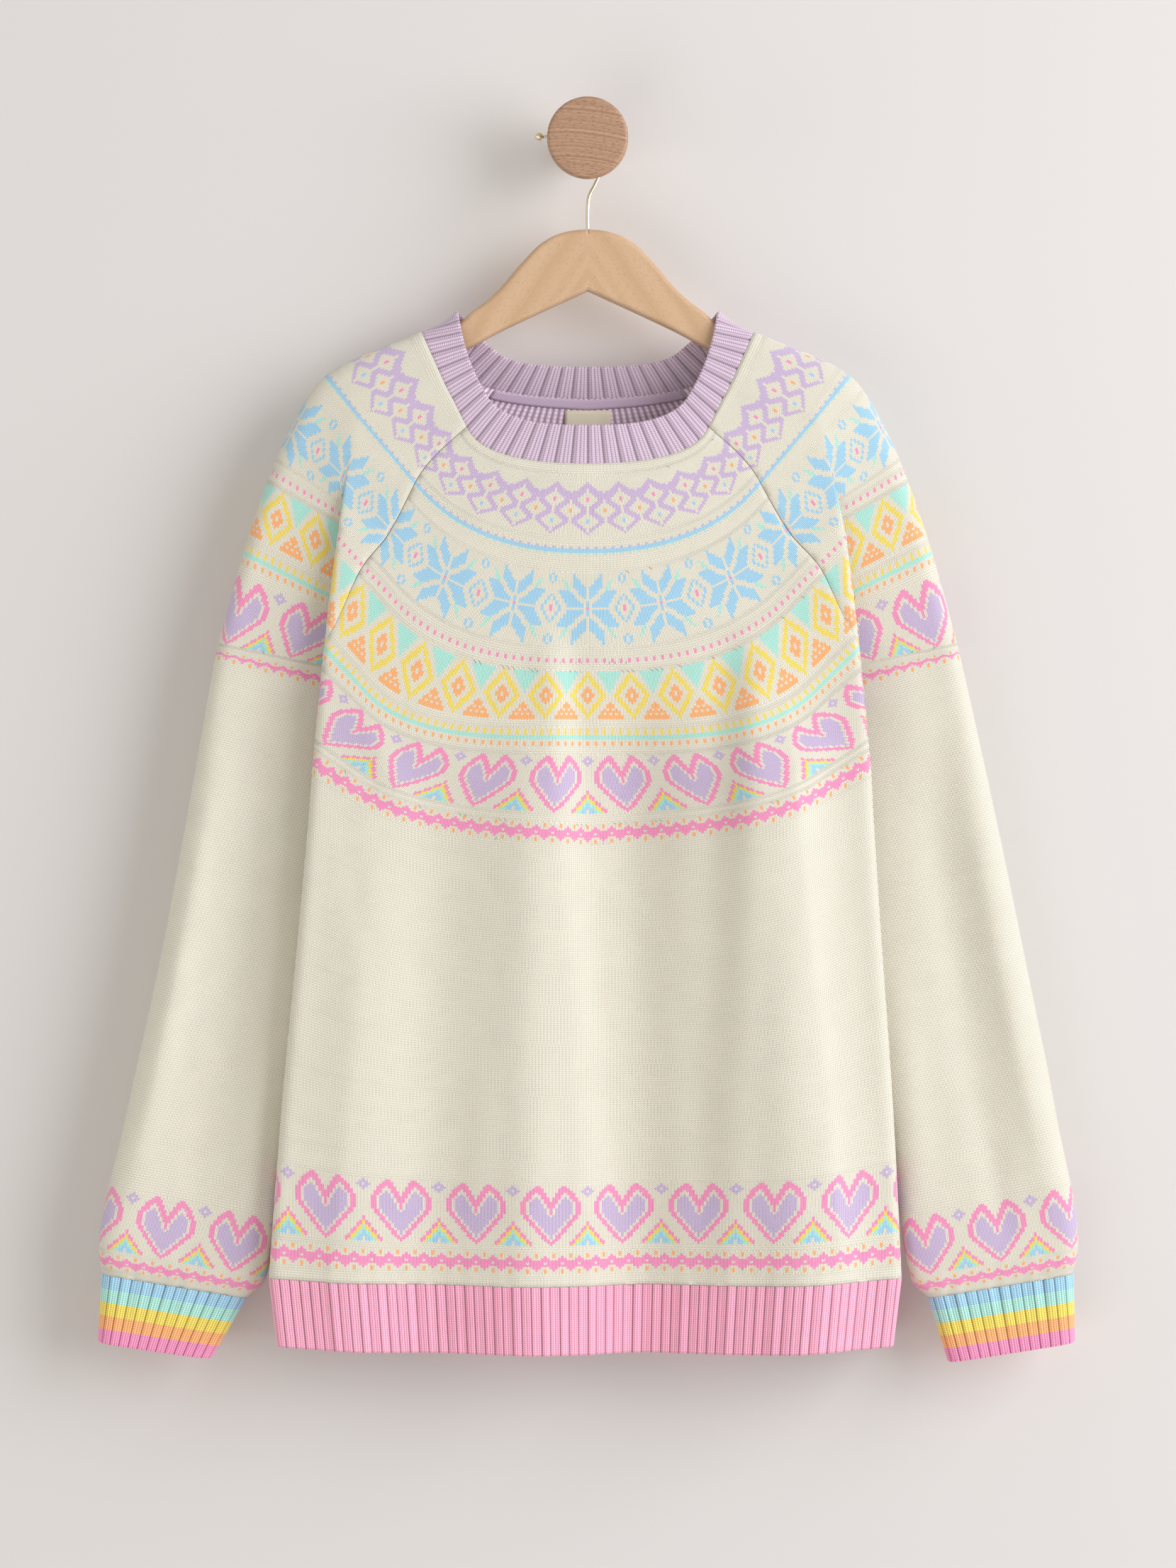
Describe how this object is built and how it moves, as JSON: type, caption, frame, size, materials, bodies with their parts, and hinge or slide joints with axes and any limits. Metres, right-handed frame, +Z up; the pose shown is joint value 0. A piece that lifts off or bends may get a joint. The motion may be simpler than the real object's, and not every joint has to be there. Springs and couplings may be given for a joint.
{
  "type": "christmas sweater on a wooden hanger and wall peg",
  "caption": "Knitted yoke jumper with ribbed neck, hem and cuffs, hanging flat from a wooden hanger whose hook loops over a round wall peg.",
  "frame": {"origin": "centre of the wall peg's rear face, where the peg stands on the wall", "axes": "+Z up, the front of the jumper faces -Y, +Y goes into the wall"},
  "size_m": [0.6059, 0.0733, 0.779],
  "materials": {
    "cream_wool": "matte knit",
    "lavender_wool": "matte rib knit",
    "pink_wool": "matte rib knit",
    "blue_wool": "matte rib knit",
    "label_weave": "woven",
    "beech": "satin lacquer",
    "ash_wood": "oiled",
    "brass": "polished"
  },
  "bodies": {
    "root": {"front": "cream_wool", "back": "cream_wool", "sleeve_left": "cream_wool", "sleeve_right": "cream_wool", "neckband": "lavender_wool", "neck_tape": "lavender_wool", "label": "label_weave", "hem_rib": "pink_wool", "cuff_left": "blue_wool", "cuff_right": "blue_wool", "hanger_left": "beech", "hanger_right": "beech", "hanger_hook": "brass", "hook_ball": "brass", "peg_disc": "ash_wood", "peg_shaft": "ash_wood"}
  },
  "joints": []
}
